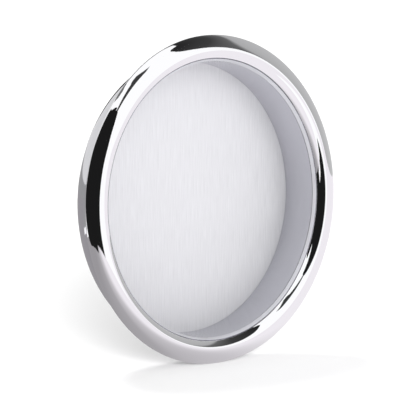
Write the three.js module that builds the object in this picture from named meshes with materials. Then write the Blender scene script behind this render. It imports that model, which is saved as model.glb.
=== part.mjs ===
// Round coin display frame, in millimetres with +Z up.
// Every piece is turned about the Y axis. The origin is the centre of the mounting face at the back,
// and the open front faces -Y. Depths are measured back from the bezel's front crest.

import * as THREE from 'three';

// Driving dimensions
const FRAME_RADIUS = 30;
const FRAME_DEPTH = 12;
const WELL_RADIUS = 25.3;
const WELL_DEPTH = 9.4;
const WELL_TAPER = 0.25;
const FIT_GAP = 0.15;

// Facets
const FACETS = 72;
const ARC_STEPS = 3;

// Front bezel: a half-round bead, a little wider outside its crest than inside, with a flat back
const CREST_RADIUS = 27.2;
const BEAD_OUTER_DEPTH = 1.8;
const BEAD_INNER_DEPTH = 2;
const BEAD_LIP = 0.05;
const RIM_ROUND = 0.35;
const BEZEL_BACK = BEAD_OUTER_DEPTH + RIM_ROUND;

// Bezel spigot, which enters the rear shell and carries the grip ring
const SPIGOT_RADIUS = 26.7;
const SPIGOT_END = 6;
const GROOVE_RADIUS = 26.3;
const GROOVE_START = 4.3;
const GROOVE_END = 5.2;
const SLEEVE_SEAT_DEPTH = 2.25;

// Well sleeve, seated inside the spigot
const SLEEVE_WALL = 0.35;
const SLEEVE_START = SLEEVE_SEAT_DEPTH + FIT_GAP;
const SLEEVE_END = WELL_DEPTH - FIT_GAP;
const SLEEVE_OUTER_RADIUS = WELL_RADIUS + SLEEVE_WALL;
const SLEEVE_STRAIGHT_END = 6.1;
const SPIGOT_BORE = SLEEVE_OUTER_RADIUS + 0.1;

// Backing plate and the pad behind it
const PLATE_RADIUS = WELL_RADIUS - WELL_TAPER;
const PLATE_THICKNESS = 0.2;
const PLATE_BACK = WELL_DEPTH + PLATE_THICKNESS;
const PLATE_PAD_RADIUS = 23.5;
const PLATE_PAD_START = PLATE_BACK + 0.1;
const PLATE_PAD_END = PLATE_PAD_START + 0.35;

// Rear shell, a cup with a rounded back edge
const SHELL_MOUTH = BEZEL_BACK + 0.2;
const SHELL_MOUTH_BORE = 27;
const SHELL_SHOULDER = 6.2;
const SHELL_RADIUS = 27.5;
const SHELL_EDGE_ROUND = 5.4;
const SHELL_FLOOR_FRONT = PLATE_PAD_END + 0.1;
const SHELL_FLOOR_BACK = 10.85;
const SHELL_FLAT_RADIUS = SHELL_RADIUS - SHELL_EDGE_ROUND;

// Mounting pad on the flat back
const MOUNT_PAD_RADIUS = 20.5;
const MOUNT_PAD_START = SHELL_FLOOR_BACK + 0.1;

// Turns a depth behind the crest into a place along Y.
function place(depth) {
  return depth - FRAME_DEPTH;
}

// An outline is drawn counter-clockwise in radius and Y, and is turned about Y.
function turn(outline) {
  return new THREE.LatheGeometry(outline.getPoints(ARC_STEPS), FACETS);
}

function drawLines(outline, corners) {
  for (const [radius, depth] of corners) {
    outline.lineTo(radius, place(depth));
  }
}

function discGeometry(radius, front, back) {
  const outline = new THREE.Path();
  outline.moveTo(0, place(front));
  drawLines(outline, [[radius, front], [radius, back], [0, back]]);
  return turn(outline);
}

function bezelGeometry() {
  const outline = new THREE.Path();
  const innerEdge = WELL_RADIUS - BEAD_LIP;
  outline.moveTo(CREST_RADIUS, place(0));
  outline.absellipse(
    CREST_RADIUS, place(BEAD_OUTER_DEPTH),
    FRAME_RADIUS - CREST_RADIUS, BEAD_OUTER_DEPTH,
    -Math.PI / 2, 0, false,
  );
  outline.absarc(
    FRAME_RADIUS - RIM_ROUND, place(BEAD_OUTER_DEPTH), RIM_ROUND,
    0, Math.PI / 2, false,
  );
  drawLines(outline, [
    [SPIGOT_RADIUS, BEZEL_BACK],
    [SPIGOT_RADIUS, GROOVE_START],
    [GROOVE_RADIUS, GROOVE_START],
    [GROOVE_RADIUS, GROOVE_END],
    [SPIGOT_RADIUS, GROOVE_END],
    [SPIGOT_RADIUS, SPIGOT_END],
    [SPIGOT_BORE, SPIGOT_END],
    [SPIGOT_BORE, SLEEVE_SEAT_DEPTH],
    [innerEdge, SLEEVE_SEAT_DEPTH],
    [innerEdge, BEAD_INNER_DEPTH],
  ]);
  outline.absellipse(
    CREST_RADIUS, place(BEAD_INNER_DEPTH),
    CREST_RADIUS - innerEdge, BEAD_INNER_DEPTH,
    Math.PI, Math.PI * 1.5, false,
  );
  return turn(outline);
}

function sleeveGeometry() {
  const outline = new THREE.Path();
  const endRadius = WELL_RADIUS - WELL_TAPER;
  outline.moveTo(WELL_RADIUS, place(SLEEVE_START));
  drawLines(outline, [
    [SLEEVE_OUTER_RADIUS, SLEEVE_START],
    [SLEEVE_OUTER_RADIUS, SLEEVE_STRAIGHT_END],
    [endRadius + SLEEVE_WALL, SLEEVE_END],
    [endRadius, SLEEVE_END],
    [WELL_RADIUS, SLEEVE_START],
  ]);
  return turn(outline);
}

function gripRingGeometry() {
  const outline = new THREE.Path();
  outline.absellipse(
    (GROOVE_RADIUS + SHELL_MOUTH_BORE) / 2, place((GROOVE_START + GROOVE_END) / 2),
    0.27, 0.35, 0, Math.PI * 2, false,
  );
  return turn(outline);
}

function shellGeometry() {
  const outline = new THREE.Path();
  const plateBore = PLATE_RADIUS + 0.05;
  const sleeveBore = PLATE_RADIUS + SLEEVE_WALL + FIT_GAP;
  outline.moveTo(0, place(SHELL_FLOOR_FRONT));
  drawLines(outline, [
    [PLATE_PAD_RADIUS + 0.2, SHELL_FLOOR_FRONT],
    [plateBore, PLATE_BACK + 0.1],
    [plateBore, SLEEVE_END + 0.1],
    [sleeveBore, SLEEVE_END + 0.05],
    [SLEEVE_OUTER_RADIUS + FIT_GAP, SHELL_SHOULDER],
    [SHELL_MOUTH_BORE, SPIGOT_END + 0.1],
    [SHELL_MOUTH_BORE, SHELL_MOUTH],
    [SHELL_RADIUS, SHELL_MOUTH],
  ]);
  outline.absarc(
    SHELL_FLAT_RADIUS, place(SHELL_FLOOR_BACK - SHELL_EDGE_ROUND), SHELL_EDGE_ROUND,
    0, Math.PI / 2, false,
  );
  drawLines(outline, [[0, SHELL_FLOOR_BACK]]);
  return turn(outline);
}

function material(color, roughness, metalness) {
  return new THREE.MeshStandardMaterial({ color, roughness, metalness });
}

function piece(name, geometry, pieceMaterial) {
  const mesh = new THREE.Mesh(geometry, pieceMaterial);
  mesh.name = name;
  return mesh;
}

// The bezel, its sleeve and the grip ring pull off the rear housing together.
const bezel = new THREE.Group();
bezel.add(
  piece('front_bezel', bezelGeometry(), material(0xdcdde2, 0.06, 1)),
  piece('well_sleeve', sleeveGeometry(), material(0xb4b5bf, 0.3, 1)),
  piece('grip_ring', gripRingGeometry(), material(0x17181a, 0.7, 0)),
);

const rearHousing = new THREE.Group();
rearHousing.add(
  piece('backing_plate', discGeometry(PLATE_RADIUS, WELL_DEPTH, PLATE_BACK), material(0xe3e3e8, 0.45, 1)),
  piece(
    'plate_pad',
    discGeometry(PLATE_PAD_RADIUS, PLATE_PAD_START, PLATE_PAD_END),
    material(0xe9e7e0, 0.9, 0),
  ),
  piece('rear_shell', shellGeometry(), material(0xd2d3d9, 0.1, 1)),
  piece(
    'mount_pad',
    discGeometry(MOUNT_PAD_RADIUS, MOUNT_PAD_START, FRAME_DEPTH),
    material(0x2a2b2e, 0.95, 0),
  ),
);

const frame = new THREE.Group();
frame.add(rearHousing, bezel);

export default frame;
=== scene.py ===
import math

import bmesh
import bpy
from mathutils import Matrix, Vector


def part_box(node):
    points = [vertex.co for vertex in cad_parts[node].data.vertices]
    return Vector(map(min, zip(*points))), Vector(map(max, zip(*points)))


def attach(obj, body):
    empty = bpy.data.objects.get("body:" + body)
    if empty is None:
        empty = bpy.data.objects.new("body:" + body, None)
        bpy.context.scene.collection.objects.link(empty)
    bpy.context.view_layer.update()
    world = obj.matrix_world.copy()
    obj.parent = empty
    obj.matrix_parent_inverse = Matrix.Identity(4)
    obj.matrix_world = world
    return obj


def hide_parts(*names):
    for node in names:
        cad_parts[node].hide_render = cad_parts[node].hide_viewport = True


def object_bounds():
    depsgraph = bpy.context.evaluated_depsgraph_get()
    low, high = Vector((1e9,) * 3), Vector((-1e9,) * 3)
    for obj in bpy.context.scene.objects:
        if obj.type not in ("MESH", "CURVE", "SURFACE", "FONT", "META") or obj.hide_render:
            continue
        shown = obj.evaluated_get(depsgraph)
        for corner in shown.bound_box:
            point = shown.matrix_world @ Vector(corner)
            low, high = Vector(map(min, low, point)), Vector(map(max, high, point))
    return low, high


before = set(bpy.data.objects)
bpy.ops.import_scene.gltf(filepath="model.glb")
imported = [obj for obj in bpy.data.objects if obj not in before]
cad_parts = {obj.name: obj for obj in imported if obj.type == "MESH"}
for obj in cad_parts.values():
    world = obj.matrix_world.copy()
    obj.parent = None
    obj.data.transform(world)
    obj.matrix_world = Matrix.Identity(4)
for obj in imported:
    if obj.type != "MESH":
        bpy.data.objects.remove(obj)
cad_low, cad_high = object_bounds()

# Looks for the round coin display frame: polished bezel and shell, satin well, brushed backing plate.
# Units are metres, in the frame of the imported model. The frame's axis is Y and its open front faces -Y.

MM = 0.001
SEGMENTS = 288

# Places read from the CAD frame
BEZEL_LOW, BEZEL_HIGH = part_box("front_bezel")
SLEEVE_LOW, SLEEVE_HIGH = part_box("well_sleeve")
PLATE_LOW, PLATE_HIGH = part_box("backing_plate")
SHELL_LOW, SHELL_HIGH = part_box("rear_shell")
MOUNT_PAD_LOW, MOUNT_PAD_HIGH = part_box("mount_pad")
PLATE_PAD_LOW, PLATE_PAD_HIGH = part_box("plate_pad")
GRIP_LOW, GRIP_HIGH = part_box("grip_ring")

CREST_Y = BEZEL_LOW.y
FRAME_RADIUS = BEZEL_HIGH.x
FLOOR_Z = cad_low.z

# Gaps between pieces
FIT_GAP = 0.15 * MM
SIDE_GAP = 0.1 * MM
EDGE_GAP = 0.05 * MM
SEAM = 0.03 * MM

# Bezel section
BEAD_OUTER_WIDTH = 2.8 * MM
BEAD_OUTER_DEPTH = 1.8 * MM
BEAD_INNER_DEPTH = 2.0 * MM
CREST_RADIUS = FRAME_RADIUS - BEAD_OUTER_WIDTH
RIM_Y = CREST_Y + BEAD_OUTER_DEPTH
RIM_ROUND = 0.35 * MM
INNER_Y = CREST_Y + BEAD_INNER_DEPTH
LIP_RADIUS = PLATE_HIGH.x + 0.2 * MM
GRIP_HALF_WIDTH = 0.27 * MM
GRIP_STANDS_OUT = 0.22 * MM
SPIGOT_RADIUS = GRIP_HIGH.x - GRIP_STANDS_OUT
SPIGOT_CORNER = 0.15 * MM
SPIGOT_BORE = SLEEVE_HIGH.x + SIDE_GAP
GROOVE_RADIUS = SPIGOT_RADIUS - 0.4 * MM

# Well wall
WALL_THICKNESS = 0.35 * MM
WALL_BACK_EDGE = 0.05 * MM
WALL_FRONT_RADIUS = SLEEVE_HIGH.x - WALL_THICKNESS
WALL_BACK_RADIUS = PLATE_HIGH.x

# Rear shell section
SHELL_RADIUS = SHELL_HIGH.x
SHELL_MOUTH_BORE = SHELL_RADIUS - 0.5 * MM
SHELL_LIP_ROUND = 0.12 * MM
SHELL_EDGE_ROUND = 5.4 * MM

# Foam pads
PAD_EDGE_ROUND = 0.25 * MM


# ---------------------------------------------------------------- mesh tools

def arc(centre, radii, start, end, steps):
    """Points of an elliptical arc in (radius, y), from start to end degrees."""
    points = []
    for i in range(steps + 1):
        angle = math.radians(start + (end - start) * i / steps)
        points.append((
            centre[0] + radii[0] * math.cos(angle),
            centre[1] + radii[1] * math.sin(angle),
        ))
    return points


def straight(start, end, steps):
    """Points of a straight line, both ends included."""
    return [
        (
            start[0] + (end[0] - start[0]) * i / steps,
            start[1] + (end[1] - start[1]) * i / steps,
        )
        for i in range(steps + 1)
    ]


def outline_of(*runs):
    """One outline from several runs of points, with repeated points left out."""
    outline = []
    for run in runs:
        for point in run:
            if not outline or math.dist(outline[-1], point) > 1e-7:
                outline.append(point)
    return outline


def turned(name, outline, closed=True, crease_degrees=28.0):
    """A mesh turned about Y. A closed outline comes back to its start; an open one ends on the axis."""
    bm = bmesh.new()
    rings = []
    for radius, y in outline:
        if radius < 1e-7:
            rings.append([bm.verts.new((0.0, y, 0.0))])
            continue
        ring = []
        for i in range(SEGMENTS):
            angle = 2 * math.pi * i / SEGMENTS
            ring.append(bm.verts.new((radius * math.cos(angle), y, radius * math.sin(angle))))
        rings.append(ring)
    pairs = list(zip(rings, rings[1:]))
    if closed:
        pairs.append((rings[-1], rings[0]))
    for first, second in pairs:
        for i in range(SEGMENTS):
            j = (i + 1) % SEGMENTS
            corners = [first[i % len(first)], first[j % len(first)]]
            corners += [second[j % len(second)], second[i % len(second)]]
            unique = list(dict.fromkeys(corners))
            if len(unique) > 2:
                bm.faces.new(unique)
    bmesh.ops.recalc_face_normals(bm, faces=bm.faces)
    limit = math.radians(crease_degrees)
    for face in bm.faces:
        face.smooth = True
    for edge in bm.edges:
        edge.smooth = edge.calc_face_angle(0.0) < limit
    mesh = bpy.data.meshes.new(name)
    bm.to_mesh(mesh)
    bm.free()
    piece = bpy.data.objects.new(name, mesh)
    bpy.context.scene.collection.objects.link(piece)
    return piece


# ---------------------------------------------------------------- materials

# Stretch of a texture that is the same along each axis
EVEN = (1.0, 1.0, 1.0)


class Shader:
    """A principled material and short ways to add nodes to it."""

    def __init__(self, name, color, roughness, metallic=0.0):
        self.material = bpy.data.materials.new(name)
        self.material.use_nodes = True
        self.nodes = self.material.node_tree.nodes
        self.links = self.material.node_tree.links
        self.principled = self.nodes["Principled BSDF"]
        self.principled.inputs["Base Color"].default_value = (*color, 1.0)
        self.principled.inputs["Roughness"].default_value = roughness
        self.principled.inputs["Metallic"].default_value = metallic

    def node(self, kind, **settings):
        made = self.nodes.new(kind)
        for key, value in settings.items():
            setattr(made, key, value)
        return made

    def link(self, source, target):
        self.links.new(source, target)

    def place(self, scale):
        """Object coordinates, stretched by scale along each axis."""
        coordinates = self.node("ShaderNodeTexCoord")
        mapping = self.node("ShaderNodeMapping")
        mapping.inputs["Scale"].default_value = scale
        self.link(coordinates.outputs["Object"], mapping.inputs["Vector"])
        return mapping.outputs["Vector"]

    def noise(self, vector, scale, detail=3.0, roughness=0.5):
        made = self.node("ShaderNodeTexNoise")
        made.inputs["Scale"].default_value = scale
        made.inputs["Detail"].default_value = detail
        made.inputs["Roughness"].default_value = roughness
        self.link(vector, made.inputs["Vector"])
        return made.outputs["Fac"]

    def spread(self, value, low, high):
        """Maps a noise, mostly within 0.3 to 0.7, to low..high."""
        made = self.node("ShaderNodeMapRange")
        made.inputs["From Min"].default_value = 0.3
        made.inputs["From Max"].default_value = 0.7
        made.inputs["To Min"].default_value = low
        made.inputs["To Max"].default_value = high
        self.link(value, made.inputs["Value"])
        return made.outputs["Result"]

    def tint(self, value, dark, light):
        """A colour between dark and light, driven by a noise."""
        made = self.node("ShaderNodeMix", data_type="RGBA")
        made.inputs["A"].default_value = (*dark, 1.0)
        made.inputs["B"].default_value = (*light, 1.0)
        self.link(self.spread(value, 0.0, 1.0), made.inputs["Factor"])
        self.link(made.outputs["Result"], self.principled.inputs["Base Color"])

    def bump(self, height, strength, distance):
        made = self.node("ShaderNodeBump")
        made.inputs["Strength"].default_value = strength
        made.inputs["Distance"].default_value = distance
        self.link(height, made.inputs["Height"])
        self.link(made.outputs["Normal"], self.principled.inputs["Normal"])

    def rough(self, value, low, high):
        self.link(self.spread(value, low, high), self.principled.inputs["Roughness"])


def chrome(name, color, roughness, waviness):
    """Polished plating: a mirror with a very slight waviness and faint wipe marks."""
    shader = Shader(name, color, roughness, metallic=1.0)
    waves = shader.noise(shader.place(EVEN), scale=220.0, detail=2.0)
    shader.bump(waves, strength=waviness, distance=0.02 * MM)
    wipes = shader.noise(shader.place((1.0, 1.0, 3.0)), scale=900.0, detail=5.0, roughness=0.6)
    shader.rough(wipes, roughness * 0.6, roughness * 1.6)
    return shader.material


def satin_wall(name, color, roughness):
    """Turned metal, with fine tool lines that run round the well."""
    shader = Shader(name, color, roughness, metallic=1.0)
    lines = shader.noise(shader.place((25.0, 9000.0, 25.0)), scale=1.0, detail=4.0, roughness=0.6)
    shader.bump(lines, strength=0.12, distance=0.01 * MM)
    shader.rough(lines, roughness * 0.8, roughness * 1.25)
    return shader.material


def brushed_plate(name, dark, light, roughness):
    """Pale metal brushed straight up and down."""
    shader = Shader(name, light, roughness, metallic=0.3)
    strokes = shader.noise(shader.place((5200.0, 1.0, 190.0)), scale=1.0, detail=5.0, roughness=0.65)
    shader.tint(strokes, dark, light)
    shader.bump(strokes, strength=0.25, distance=0.01 * MM)
    shader.rough(strokes, roughness * 0.9, roughness * 1.15)
    return shader.material


def foam(name, dark, light):
    """Closed-cell foam."""
    shader = Shader(name, light, roughness=0.9)
    cells = shader.noise(shader.place(EVEN), scale=2600.0, detail=4.0, roughness=0.6)
    shader.tint(cells, dark, light)
    shader.bump(cells, strength=0.6, distance=0.08 * MM)
    return shader.material


def rubber(name, dark, light):
    """Moulded rubber with a faint bloom."""
    shader = Shader(name, light, roughness=0.6)
    bloom = shader.noise(shader.place(EVEN), scale=500.0, detail=4.0, roughness=0.6)
    shader.tint(bloom, dark, light)
    shader.rough(bloom, 0.5, 0.75)
    shader.bump(bloom, strength=0.2, distance=0.02 * MM)
    return shader.material


# ---------------------------------------------------------------- pieces

def finish_piece(piece, material, body, node):
    """Gives a piece its material, and says which body it rides and which CAD piece it replaces."""
    piece.data.materials.append(material)
    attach(piece, body)
    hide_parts(node)


def make_bezel():
    """The bead, its flat back and the spigot behind it with the groove for the grip ring."""
    outer_flank = arc((CREST_RADIUS, RIM_Y), (BEAD_OUTER_WIDTH, BEAD_OUTER_DEPTH), -90, 0, 32)
    rim = arc((FRAME_RADIUS - RIM_ROUND, RIM_Y), (RIM_ROUND, RIM_ROUND), 0, 90, 10)
    back_y = RIM_Y + RIM_ROUND
    seat_y = SLEEVE_LOW.y - FIT_GAP
    groove_low = GRIP_LOW.y - SIDE_GAP
    groove_high = GRIP_HIGH.y + SIDE_GAP
    spigot = [
        (SPIGOT_RADIUS + SPIGOT_CORNER, back_y),
        (SPIGOT_RADIUS, back_y + SPIGOT_CORNER),
        (SPIGOT_RADIUS, groove_low),
        (GROOVE_RADIUS, groove_low),
        (GROOVE_RADIUS, groove_high),
        (SPIGOT_RADIUS, groove_high),
        (SPIGOT_RADIUS, BEZEL_HIGH.y),
        (SPIGOT_BORE, BEZEL_HIGH.y),
        (SPIGOT_BORE, seat_y),
        (LIP_RADIUS, seat_y),
    ]
    # The inner flank ends just short of the crest, where the outline started.
    inner_flank = arc(
        (CREST_RADIUS, INNER_Y), (CREST_RADIUS - LIP_RADIUS, BEAD_INNER_DEPTH), 180, 269.9, 56,
    )
    outline = outline_of(outer_flank, rim, spigot, inner_flank)
    piece = turned("bezel_polished", outline)
    material = chrome("polished_chrome", (0.88, 0.88, 0.90), 0.03, 0.25)
    finish_piece(piece, material, "bezel", "front_bezel")


def make_sleeve():
    """The wall of the well, a little narrower at the plate than at the bezel."""
    front = SLEEVE_LOW.y
    back = PLATE_LOW.y - SEAM
    straight_end = BEZEL_HIGH.y + SIDE_GAP
    outline = outline_of(
        [
            (SLEEVE_HIGH.x, front),
            (SLEEVE_HIGH.x, straight_end),
            (WALL_BACK_RADIUS + WALL_THICKNESS, SLEEVE_HIGH.y),
            (WALL_BACK_RADIUS + WALL_BACK_EDGE, back),
        ],
        straight((WALL_BACK_RADIUS, back), (WALL_FRONT_RADIUS, front), 16),
    )
    piece = turned("well_wall", outline)
    material = satin_wall("satin_metal", (0.62, 0.62, 0.66), 0.16)
    finish_piece(piece, material, "bezel", "well_sleeve")


def make_plate():
    """The flat disc at the bottom of the well."""
    radius = PLATE_HIGH.x
    front, back = PLATE_LOW.y, PLATE_HIGH.y
    outline = outline_of(
        [(0.0, front)],
        straight((radius * 0.1, front), (radius, front), 9),
        [(radius, back), (radius * 0.5, back), (0.0, back)],
    )
    piece = turned("plate_brushed", outline, closed=False)
    material = brushed_plate("brushed_plate", (0.78, 0.78, 0.81), (0.90, 0.90, 0.93), 0.62)
    finish_piece(piece, material, "rear_housing", "backing_plate")


def make_shell():
    """The cup behind the bezel, stepped inside for the plate, the sleeve and the spigot."""
    mouth, back = SHELL_LOW.y, SHELL_HIGH.y
    flat_radius = SHELL_RADIUS - SHELL_EDGE_ROUND
    round_start = back - SHELL_EDGE_ROUND
    cup_floor = PLATE_PAD_HIGH.y + SIDE_GAP
    plate_bore = PLATE_HIGH.x + EDGE_GAP
    sleeve_bore = PLATE_HIGH.x + WALL_THICKNESS + FIT_GAP
    lip = SHELL_LIP_ROUND
    outline = outline_of(
        [
            (0.0, cup_floor),
            (PLATE_PAD_HIGH.x + 2 * SIDE_GAP, cup_floor),
            (plate_bore, PLATE_HIGH.y + SIDE_GAP),
            (plate_bore, SLEEVE_HIGH.y + SIDE_GAP),
            (sleeve_bore, SLEEVE_HIGH.y + EDGE_GAP),
            (SLEEVE_HIGH.x + FIT_GAP, BEZEL_HIGH.y + 2 * SIDE_GAP),
            (SHELL_MOUTH_BORE, BEZEL_HIGH.y + SIDE_GAP),
            (SHELL_MOUTH_BORE, mouth),
        ],
        arc((SHELL_RADIUS - lip, mouth + lip), (lip, lip), -90, 0, 4),
        straight((SHELL_RADIUS, mouth + lip), (SHELL_RADIUS, round_start), 6),
        arc((flat_radius, round_start), (SHELL_EDGE_ROUND, SHELL_EDGE_ROUND), 0, 90, 36),
        [(flat_radius * 0.6, back), (0.0, back)],
    )
    piece = turned("shell_polished", outline, closed=False)
    material = chrome("shell_chrome", (0.82, 0.82, 0.85), 0.05, 0.3)
    finish_piece(piece, material, "rear_housing", "rear_shell")


def make_pad(name, node, material, low, high):
    """A foam disc with its cut edge slightly drawn in."""
    radius = high.x
    middle = (low.y + high.y) / 2
    half = (high.y - low.y) / 2
    outline = outline_of(
        [(0.0, low.y), (radius * 0.5, low.y)],
        arc((radius - PAD_EDGE_ROUND, middle), (PAD_EDGE_ROUND, half), -90, 90, 14),
        [(radius * 0.5, high.y), (0.0, high.y)],
    )
    piece = turned(name, outline, closed=False, crease_degrees=60.0)
    finish_piece(piece, material, "rear_housing", node)


def make_grip_ring():
    """The rubber ring in the spigot's groove. Its oval section has twenty points."""
    centre_radius = GRIP_HIGH.x - GRIP_HALF_WIDTH
    half = (GRIP_HIGH.y - GRIP_LOW.y) / 2
    middle = (GRIP_HIGH.y + GRIP_LOW.y) / 2
    outline = arc((centre_radius, middle), (GRIP_HALF_WIDTH, half), 0, 342, 19)
    piece = turned("grip_ring_rubber", outline, crease_degrees=60.0)
    material = rubber("black_rubber", (0.012, 0.012, 0.013), (0.03, 0.03, 0.032))
    finish_piece(piece, material, "bezel", "grip_ring")


make_bezel()
make_sleeve()
make_plate()
make_shell()
make_grip_ring()
make_pad(
    "mount_pad_foam", "mount_pad",
    foam("dark_foam", (0.02, 0.02, 0.023), (0.05, 0.05, 0.055)),
    MOUNT_PAD_LOW, MOUNT_PAD_HIGH,
)
make_pad(
    "plate_pad_foam", "plate_pad",
    foam("white_foam", (0.62, 0.61, 0.57), (0.82, 0.81, 0.77)),
    PLATE_PAD_LOW, PLATE_PAD_HIGH,
)


# ---------------------------------------------------------------- studio

CENTRE = Vector((0.0, CREST_Y, 0.0))
FLOOR_HALF = 6.0

# Cards that only the polished metal mirrors
SCREEN_DISTANCE = 1.2
BACKDROP_DISTANCE = 1.1 * SCREEN_DISTANCE
CARD_STEP_DEGREES = 2.0
LEANING_ROWS = 12

# The glowing sheet that stands in for the mirrored table top, a painted reflection which ends close by on
# the left
TABLE_LIFT = 0.01 * MM
TABLE_NEAR = 95 * MM
TABLE_FAR = 1.6
TABLE_SIDES = 120
TABLE_SHADE_REACH = 30 * MM

# Sky seen in mirrors, and sky as it lights the matt surfaces
MIRRORED_SKY = 1.12
FALLING_SKY = 0.58


def towards(azimuth, elevation):
    """A direction: azimuth 0 is +Y, behind the frame, and 90 is +X. Elevation is above level."""
    a, e = math.radians(azimuth), math.radians(elevation)
    return Vector((math.sin(a) * math.cos(e), math.cos(a) * math.cos(e), math.sin(e)))


def stage_sheet(name, rows, material):
    """A sheet from rows of points, each row as long as the next."""
    mesh = bpy.data.meshes.new(name)
    width = len(rows[0])
    points = [tuple(point) for row in rows for point in row]
    faces = []
    for r in range(len(rows) - 1):
        for c in range(width - 1):
            first = r * width + c
            faces.append((first, first + 1, first + width + 1, first + width))
    mesh.from_pydata(points, [], faces)
    sheet = bpy.data.objects.new(name, mesh)
    sheet.data.materials.append(material)
    bpy.context.scene.collection.objects.link(sheet)
    return sheet


def only_reflected(sheet):
    """Keeps a sheet out of the picture and out of the floor's light, so only polished metal shows it."""
    sheet.visible_camera = False
    sheet.visible_diffuse = False
    sheet.visible_shadow = False
    sheet.visible_transmission = False


def between(stations, azimuth):
    """Low and high elevation at an azimuth, straight between stations of (azimuth, low, high)."""
    for first, second in zip(stations, stations[1:]):
        if first[0] <= azimuth <= second[0]:
            part = (azimuth - first[0]) / (second[0] - first[0])
            return [first[i] + (second[i] - first[i]) * part for i in (1, 2)]
    return stations[-1][1:]


def curved_card(name, stations, material, distance=SCREEN_DISTANCE, rows=14):
    """A card curved round the frame, through stations of (azimuth, low, high elevation)."""
    start, end = stations[0][0], stations[-1][0]
    count = int((end - start) / CARD_STEP_DEGREES)
    azimuths = [start + (end - start) * i / count for i in range(count + 1)]
    grid = []
    for r in range(rows + 1):
        row = []
        for azimuth in azimuths:
            low, high = between(stations, azimuth)
            row.append(CENTRE + towards(azimuth, low + (high - low) * r / rows) * distance)
        grid.append(row)
    only_reflected(stage_sheet(name, grid, material))


def leaning_card(name, foot, top, material):
    """A card between a foot and a top edge, given as (azimuth, reach in mm, height in mm)."""
    edges = []
    for edge in (foot, top):
        edges.append([
            CENTRE + towards(azimuth, 0) * reach * MM + Vector((0.0, 0.0, height * MM))
            for azimuth, reach, height in edge
        ])
    grid = [
        [low.lerp(high, r / LEANING_ROWS) for low, high in zip(*edges)]
        for r in range(LEANING_ROWS + 1)
    ]
    only_reflected(stage_sheet(name, grid, material))


def emitting(name, level):
    """A plain glowing surface, which needs no light to be seen in a mirror."""
    material = bpy.data.materials.new(name)
    material.use_nodes = True
    nodes = material.node_tree.nodes
    nodes.clear()
    output = nodes.new("ShaderNodeOutputMaterial")
    emission = nodes.new("ShaderNodeEmission")
    emission.inputs["Color"].default_value = (1.0, 1.0, 1.0, 1.0)
    emission.inputs["Strength"].default_value = level
    material.node_tree.links.new(emission.outputs["Emission"], output.inputs["Surface"])
    return material


def set_stops(ramp, stops, tint=(1.0, 1.0, 1.0)):
    """Levels of one tint along a colour ramp, from (position, level)."""
    elements = ramp.color_ramp.elements
    while len(elements) < len(stops):
        elements.new(0.5)
    for element, (position, level) in zip(elements, stops):
        element.position = position
        element.color = (*(level * part for part in tint), 1.0)


def shaded_screen(name, axis, stops):
    """Emission that changes with the angle from an axis. Stops are (degrees, level)."""
    material = emitting(name, 1.0)
    nodes, links = material.node_tree.nodes, material.node_tree.links
    emission = nodes["Emission"]
    coordinates = nodes.new("ShaderNodeTexCoord")
    from_centre = nodes.new("ShaderNodeVectorMath")
    from_centre.operation = "SUBTRACT"
    from_centre.inputs[1].default_value = CENTRE
    unit = nodes.new("ShaderNodeVectorMath")
    unit.operation = "NORMALIZE"
    dot = nodes.new("ShaderNodeVectorMath")
    dot.operation = "DOT_PRODUCT"
    dot.inputs[1].default_value = axis
    angle = nodes.new("ShaderNodeMath")
    angle.operation = "ARCCOSINE"
    part = nodes.new("ShaderNodeMath")
    part.operation = "DIVIDE"
    part.inputs[1].default_value = math.pi / 2
    ramp = nodes.new("ShaderNodeValToRGB")
    links.new(coordinates.outputs["Object"], from_centre.inputs[0])
    links.new(from_centre.outputs["Vector"], unit.inputs[0])
    links.new(unit.outputs["Vector"], dot.inputs[0])
    links.new(dot.outputs["Value"], angle.inputs[0])
    links.new(angle.outputs["Value"], part.inputs[0])
    links.new(part.outputs["Value"], ramp.inputs["Fac"])
    set_stops(ramp, [(degrees / 90.0, level) for degrees, level in stops])
    links.new(ramp.outputs["Color"], emission.inputs["Color"])
    return material


def make_floor():
    """The pale paper that the frame stands on, with a little glow of its own."""
    shader = Shader("floor_paper", (0.80, 0.80, 0.80), 0.9)
    shader.principled.inputs["Emission Color"].default_value = (1.0, 1.0, 1.0, 1.0)
    shader.principled.inputs["Emission Strength"].default_value = 0.06
    edge = (-FLOOR_HALF, FLOOR_HALF)
    rows = [[Vector((x, y, FLOOR_Z)) for x in edge] for y in edge]
    floor = stage_sheet("floor", rows, shader.material)
    floor.visible_glossy = False
    return floor


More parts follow.
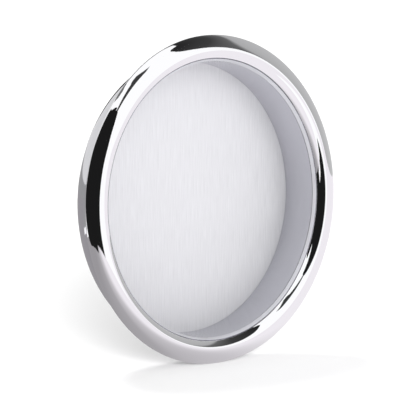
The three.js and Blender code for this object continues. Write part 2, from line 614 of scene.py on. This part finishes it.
def make_painted_table_reflection():
    """A glowing sheet that only polished metal mirrors: a painted reflection of the grey table top with
    painted shade, darker on the left of the picture.
    """
    material = emitting("table_painted_shade_glow", 1.0)
    nodes, links = material.node_tree.nodes, material.node_tree.links
    coordinates = nodes.new("ShaderNodeTexCoord")
    forward = nodes.new("ShaderNodeVectorMath")
    forward.operation = "DOT_PRODUCT"
    forward.inputs[1].default_value = towards(130, 0)
    along = nodes.new("ShaderNodeMapRange")
    along.inputs["From Min"].default_value = -TABLE_SHADE_REACH
    along.inputs["From Max"].default_value = TABLE_SHADE_REACH
    ramp = nodes.new("ShaderNodeValToRGB")
    links.new(coordinates.outputs["Object"], forward.inputs[0])
    links.new(forward.outputs["Value"], along.inputs["Value"])
    links.new(along.outputs["Result"], ramp.inputs["Fac"])
    links.new(ramp.outputs["Color"], nodes["Emission"].inputs["Color"])
    # Painted shade: the glow is dimmer towards the left of the picture and brighter towards the right
    # front.
    set_stops(
        ramp,
        [(0.1, 0.36), (0.45, 0.43), (0.53, 0.53), (0.67, 0.63), (0.87, 0.90), (1.0, 0.97)],
        tint=(1.0, 0.965, 1.0),
    )
    table_z = FLOOR_Z + TABLE_LIFT
    rim = []
    for side in range(TABLE_SIDES + 1):
        azimuth = -180 + 360 * side / TABLE_SIDES
        left = azimuth <= -40 or azimuth >= 150
        reach = TABLE_NEAR if left else TABLE_FAR
        a = math.radians(azimuth)
        rim.append(Vector((reach * math.sin(a), reach * math.cos(a), table_z)))
    middle = [Vector((0.0, 0.0, table_z))] * len(rim)
    only_reflected(stage_sheet("painted_table_reflection", [middle, rim], material))


def make_screens():
    """The dark and grey shapes of the room that the bezel and the shell mirror."""
    leaning_card(
        "dark_card",
        [(-136, 71, -30), (-118, 75, -30), (-104, 77, -30), (-89, 76, -29),
         (-76, 75, -24), (-69, 75, -18), (-62, 75, -8), (-56, 75, 4)],
        [(-127, 45, 43), (-111, 45, 46), (-100, 45, 45), (-88, 45, 44),
         (-79, 45, 45), (-73, 45, 39), (-70, 45, 25), (-67, 45, 17)],
        emitting("card_black", 0.012),
    )
    curved_card(
        "dark_room",
        [(-189, -17, 8), (-180, -19, 20), (-172, -20, 29), (-162, -20, 36), (-150, -20, 41),
         (-142, -15, 36), (-130, -12, 32), (-112, -9, 28)],
        emitting("room_black", 0.012),
    )
    curved_card(
        "backdrop_low",
        [(-44, -14, 6), (20, -14, 6)],
        emitting("backdrop_grey", 0.36),
        distance=BACKDROP_DISTANCE,
    )
    curved_card(
        "backdrop_high",
        [(-44, 6, 50), (-20, 6, 48), (0, 6, 46), (20, 6, 38)],
        emitting("backdrop_pale", 0.78),
        distance=BACKDROP_DISTANCE,
    )
    curved_card(
        "rail",
        [(-84, 61, 66), (-66, 58, 66), (-48, 52, 64), (-36, 50, 62), (-24, 48, 58),
         (0, 46, 54), (20, 38, 47), (34, 28, 40)],
        emitting("rail_grey", 0.16),
    )
    curved_card(
        "arch",
        [(18, 12, 38), (26, 2, 46), (34, -2, 55), (42, -2, 63), (52, -2, 68), (66, -2, 72),
         (90, -2, 73), (116, -2, 72), (127, -2, 71), (133, 5, 70), (137, 11, 69), (141, 17, 67),
         (145, 26, 64), (148, 34, 61), (149.5, 42, 56)],
        shaded_screen(
            "arch_shade", towards(85, -2),
            [(0, 0.60), (30, 0.53), (42, 0.49), (47.5, 0.45),
             (50, 0.14), (58, 0.05), (74, 0.022)],
        ),
        rows=40,
    )
    curved_card(
        "boom",
        [(-186, 48, 58), (-177, 42, 61), (-168, 30, 65), (-160, 36, 68),
         (-152, 60, 70), (-138, 68, 73)],
        emitting("boom_black", 0.05),
    )


def make_world():
    """A white sky, brighter in mirrors than as a light on matt surfaces."""
    world = bpy.data.worlds.new("studio")
    bpy.context.scene.world = world
    world.use_nodes = True
    nodes, links = world.node_tree.nodes, world.node_tree.links
    mirrored = nodes["Background"]
    mirrored.inputs["Color"].default_value = (1.0, 1.0, 1.0, 1.0)
    mirrored.inputs["Strength"].default_value = MIRRORED_SKY
    falling = nodes.new("ShaderNodeBackground")
    falling.inputs["Color"].default_value = (1.0, 1.0, 1.0, 1.0)
    falling.inputs["Strength"].default_value = FALLING_SKY
    path = nodes.new("ShaderNodeLightPath")
    mix = nodes.new("ShaderNodeMixShader")
    links.new(path.outputs["Is Diffuse Ray"], mix.inputs[0])
    links.new(mirrored.outputs[0], mix.inputs[1])
    links.new(falling.outputs[0], mix.inputs[2])
    links.new(mix.outputs[0], nodes["World Output"].inputs["Surface"])


def make_soft_sun(name, azimuth, elevation, spread, strength):
    """A wide, distant lamp that matt surfaces see and mirrors don't."""
    light = bpy.data.lights.new(name, "SUN")
    light.angle = math.radians(spread)
    light.energy = strength
    lamp = bpy.data.objects.new(name, light)
    lamp.visible_glossy = False
    lamp.rotation_mode = "QUATERNION"
    lamp.rotation_quaternion = towards(azimuth, elevation).to_track_quat("Z", "Y")
    bpy.context.scene.collection.objects.link(lamp)
    return lamp


def for_floor_only(lamp, floor):
    """Lets a lamp light the floor alone, so that it only draws the soft shadow."""
    receivers = bpy.data.collections.new(lamp.name + "_receivers")
    receivers.objects.link(floor)
    lamp.light_linking.receiver_collection = receivers


# The camera's azimuth is measured from -Y here, and its place is fitted to the outlines in the photo.
CAMERA_AZIMUTH = -41.27
CAMERA_ELEVATION = 4.19
CAMERA_DISTANCE = 363.34 * MM
CAMERA_ASIDE = -3.98 * MM
CAMERA_UP = 0.05 * MM
CAMERA_SENSOR_MM = 36
CAMERA_LENS_MM = 180
CAMERA_NEAREST = 10 * MM


def make_camera():
    """A long lens at the photo's angle, aimed a little beside the middle of the bezel's front."""
    a, e = math.radians(CAMERA_AZIMUTH), math.radians(CAMERA_ELEVATION)
    back = Vector((math.sin(a) * math.cos(e), -math.cos(a) * math.cos(e), math.sin(e)))
    right = Vector((math.cos(a), math.sin(a), 0.0))
    up = back.cross(right)
    data = bpy.data.cameras.new("camera")
    data.sensor_width = CAMERA_SENSOR_MM
    data.lens = CAMERA_LENS_MM
    data.clip_start = CAMERA_NEAREST
    camera = bpy.data.objects.new("camera", data)
    camera.location = CENTRE + back * CAMERA_DISTANCE + right * CAMERA_ASIDE + up * CAMERA_UP
    camera.rotation_mode = "QUATERNION"
    camera.rotation_quaternion = back.to_track_quat("Z", "Y")
    bpy.context.scene.collection.objects.link(camera)
    bpy.context.scene.camera = camera


make_camera()
floor = make_floor()
make_painted_table_reflection()
make_screens()
make_world()
shadow_light = make_soft_sun("shadow_light", azimuth=-145, elevation=14, spread=16, strength=6.0)
for_floor_only(shadow_light, floor)
back_light = make_soft_sun("back_light", azimuth=8, elevation=62, spread=16, strength=1.15)
for_floor_only(back_light, floor)
make_soft_sun("front_light", azimuth=-170, elevation=8, spread=70, strength=1.42)
bpy.context.scene.view_settings.view_transform = "Standard"
